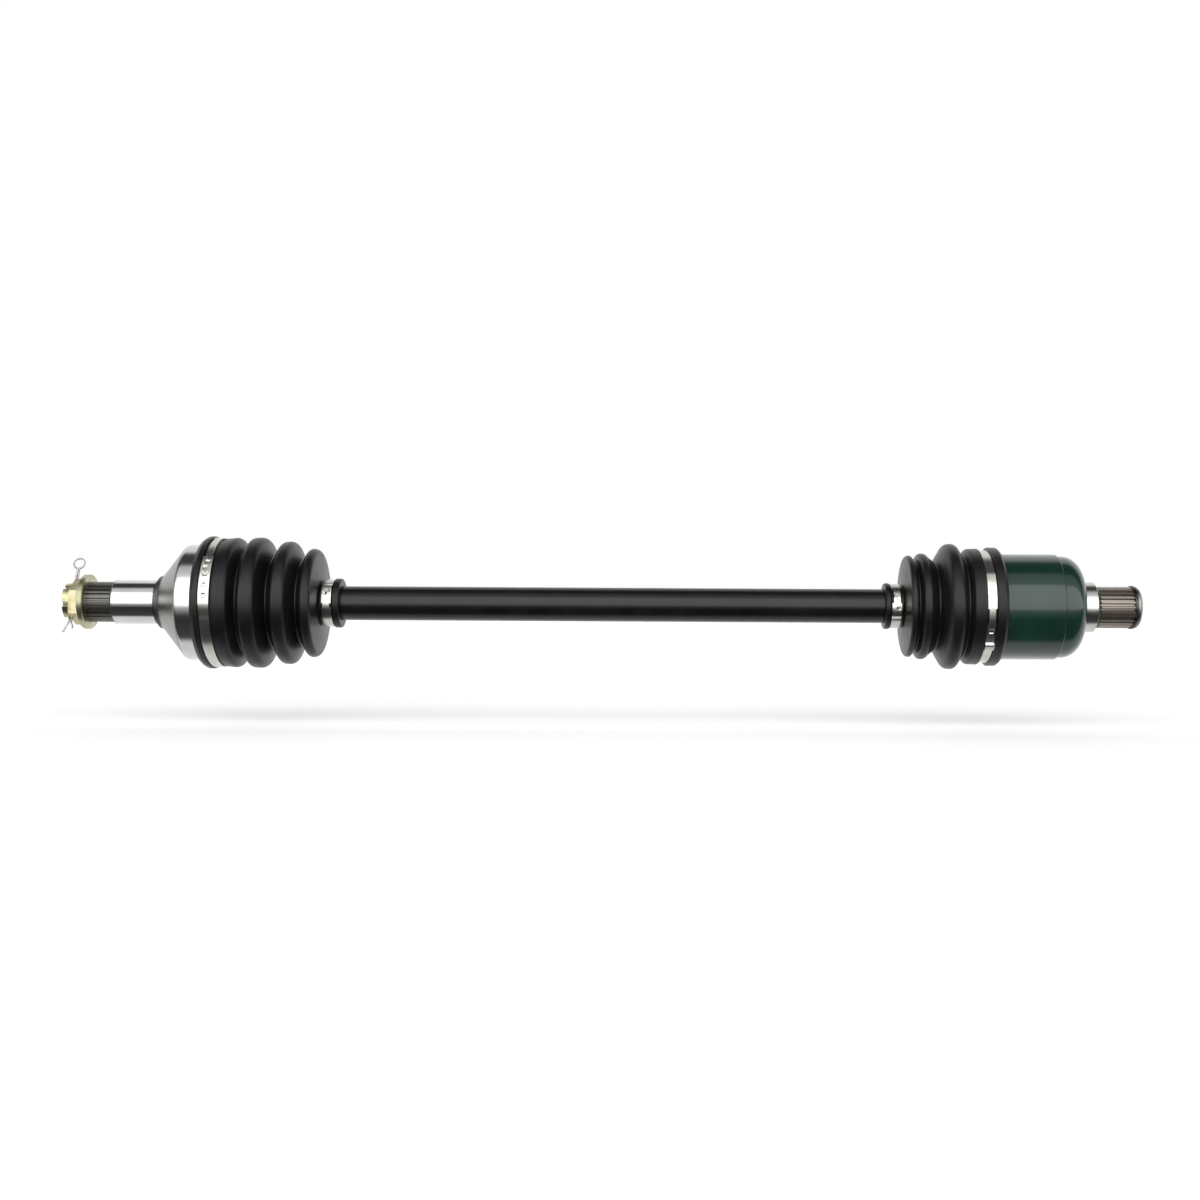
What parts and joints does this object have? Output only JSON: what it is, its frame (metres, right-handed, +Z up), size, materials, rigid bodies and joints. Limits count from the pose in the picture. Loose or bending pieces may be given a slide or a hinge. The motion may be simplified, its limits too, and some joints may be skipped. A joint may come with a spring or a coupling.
{
  "type": "cv axle half-shaft",
  "caption": "Half-shaft with a ball joint, rubber boot and splined stub at each end; the gearbox end also plunges.",
  "frame": {"origin": "middle of the wheel bearing's journal on the outboard stub, on the axle's centre line", "axes": "+X along the axle from the wheel end to the gearbox end, +Z up with the axle lying level, -Y towards the viewer"},
  "size_m": [0.7275, 0.0898, 0.0898],
  "materials": {
    "black_bar": "satin black coating",
    "machined_steel": "turned and ground steel",
    "hard_steel": "case-hardened ground steel",
    "ball_steel": "polished bearing steel",
    "spring_steel": "plain spring steel",
    "boot_rubber": "moulded black rubber, semi-matt",
    "clamp_steel": "bright stainless band",
    "yellow_zinc": "yellow-passivated zinc plating",
    "green_paint": "gloss dark green paint, stub left bright"
  },
  "bodies": {
    "shaft": {"axle_bar": "black_bar", "outboard_inner_race": "hard_steel", "outboard_race_clip": "spring_steel", "outboard_small_clamp": "clamp_steel", "inboard_inner_race": "hard_steel", "inboard_race_clip": "spring_steel", "inboard_small_clamp": "clamp_steel"},
    "outboard_cage": {"outboard_cage": "hard_steel", "outboard_ball_1": "ball_steel", "outboard_ball_2": "ball_steel", "outboard_ball_3": "ball_steel", "outboard_ball_4": "ball_steel", "outboard_ball_5": "ball_steel", "outboard_ball_6": "ball_steel"},
    "outboard_housing": {"outboard_outer_race": "machined_steel", "outboard_boot": "boot_rubber", "outboard_large_clamp": "clamp_steel", "castle_nut": "yellow_zinc", "hub_washer": "yellow_zinc", "cotter_pin": "spring_steel"},
    "inboard_cage": {"inboard_cage": "hard_steel", "inboard_ball_1": "ball_steel", "inboard_ball_2": "ball_steel", "inboard_ball_3": "ball_steel", "inboard_ball_4": "ball_steel", "inboard_ball_5": "ball_steel", "inboard_ball_6": "ball_steel"},
    "inboard_boot": {"inboard_boot": "boot_rubber"},
    "inboard_housing": {"inboard_outer_race": "green_paint", "inboard_large_clamp": "clamp_steel", "inboard_stopper_ring": "spring_steel", "stub_circlip": "spring_steel"}
  },
  "joints": [
    {"name": "outboard_bend", "type": "hinge", "parent": "shaft", "child": "outboard_housing", "pos_m": [0.049, 0, 0], "axis": [0, 1, 0], "range_deg": [-40, 40], "deforming": ["outboard_boot"]},
    {"name": "outboard_cage_bend", "type": "hinge", "parent": "shaft", "child": "outboard_cage", "pos_m": [0.049, 0, 0], "axis": [0, 1, 0], "range_deg": [-20, 20]},
    {"name": "inboard_bend", "type": "hinge", "parent": "shaft", "child": "inboard_boot", "pos_m": [0.5985, 0, 0], "axis": [0, 1, 0], "range_deg": [-20, 20], "deforming": ["inboard_boot"]},
    {"name": "inboard_plunge", "type": "slide", "parent": "inboard_boot", "child": "inboard_housing", "axis": [1, 0, 0], "range_m": [-0.013, 0.013], "deforming": ["inboard_boot"]},
    {"name": "inboard_cage_bend", "type": "hinge", "parent": "shaft", "child": "inboard_cage", "pos_m": [0.5985, 0, 0], "axis": [0, 1, 0], "range_deg": [-10, 10]}
  ],
  "couplings": [
    {"joint": "outboard_cage_bend", "follows": "outboard_bend", "ratio": 0.5},
    {"joint": "inboard_cage_bend", "follows": "inboard_bend", "ratio": 0.5}
  ]
}
